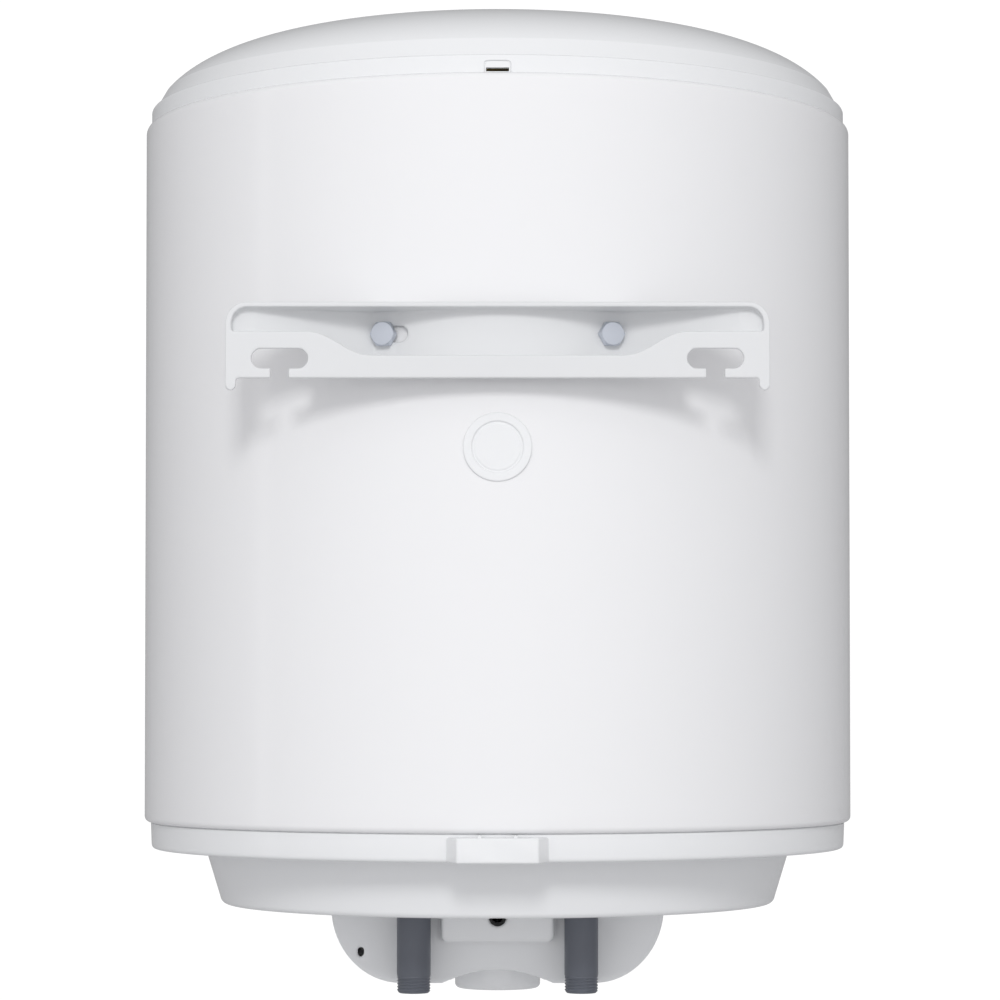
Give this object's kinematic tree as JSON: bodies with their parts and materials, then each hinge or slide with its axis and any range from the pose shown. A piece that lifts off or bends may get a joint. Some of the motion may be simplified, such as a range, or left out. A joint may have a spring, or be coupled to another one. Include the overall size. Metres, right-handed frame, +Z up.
{
  "type": "tank water heater",
  "caption": "Wall-hung electric storage water heater: round white casing, slotted wall bracket, two threaded pipes below and a thermostat knob.",
  "frame": {"origin": "midway between the centres of the two bracket slots, on the wall plane", "axes": "+Z up along the tank, +Y into the wall, -Y towards the room, +X to the right of someone facing the wall"},
  "size_m": [0.433, 0.451, 0.5841],
  "materials": {
    "white_paint": "white powder coat",
    "white_plastic": "white moulded plastic, light gloss",
    "zinc_steel": "zinc plated",
    "plain_steel": "machined",
    "pu_foam": "foamed in place",
    "tank_enamel": "glass enamel",
    "pipe_steel": "dark grey coated steel",
    "natural_plastic": "natural",
    "black_rubber": "moulded",
    "copper_sheath": "copper",
    "brass_probe": "drawn",
    "thermostat_case": "moulded phenolic",
    "magnesium": "extruded",
    "brown_wire": "insulated wire",
    "blue_wire": "insulated wire",
    "green_wire": "insulated wire",
    "white_wire": "insulated wire",
    "dark_plastic": "moulded",
    "red_lens": "clear red moulding",
    "red_plastic": "moulded"
  },
  "bodies": {
    "heater": {"outer_casing": "white_paint", "top_cap": "white_plastic", "bottom_cap": "white_plastic", "wall_bracket": "white_paint", "bracket_bolts": "zinc_steel", "bracket_bosses": "plain_steel", "foam_plug": "white_plastic", "insulation_foam": "pu_foam", "tank_shell": "tank_enamel", "tank_top_dome": "tank_enamel", "tank_bottom_dome": "tank_enamel", "cold_inlet_pipe": "pipe_steel", "hot_outlet_pipe": "pipe_steel", "hot_draw_tube": "natural_plastic", "cold_diffuser": "natural_plastic", "flange_collar": "plain_steel", "flange_studs": "zinc_steel", "flange_gasket": "black_rubber", "flange_plate": "zinc_steel", "flange_nuts": "zinc_steel", "heating_element": "copper_sheath", "element_terminals": "zinc_steel", "thermostat_pocket": "plain_steel", "thermostat_rod": "brass_probe", "thermostat_body": "thermostat_case", "anode_rod": "magnesium", "anode_nut": "zinc_steel", "terminal_block": "thermostat_case", "terminal_screws": "zinc_steel", "line_wire": "brown_wire", "neutral_wire": "blue_wire", "earth_wire": "green_wire", "element_leads": "white_wire", "earth_screw": "zinc_steel", "control_cover": "white_plastic", "cover_screws": "zinc_steel", "cable_grommet": "black_rubber", "cable_clamp": "natural_plastic", "clamp_screws": "zinc_steel", "indicator_lamp": "dark_plastic", "lamp_lens": "red_lens", "lamp_wires": "white_wire"},
    "knob": {"thermostat_knob": "white_plastic", "knob_spindle": "plain_steel"},
    "cutout_button": {"reset_button": "red_plastic"}
  },
  "joints": [
    {"name": "knob_turn", "type": "hinge", "parent": "heater", "child": "knob", "pos_m": [0, -0.2345, -0.352], "axis": [0, 0, -1], "range_deg": [0, 270]},
    {"name": "button_press", "type": "slide", "parent": "heater", "child": "cutout_button", "axis": [0, 0, 1], "range_m": [0, 0.002], "stiffness_N_per_m": 400}
  ]
}
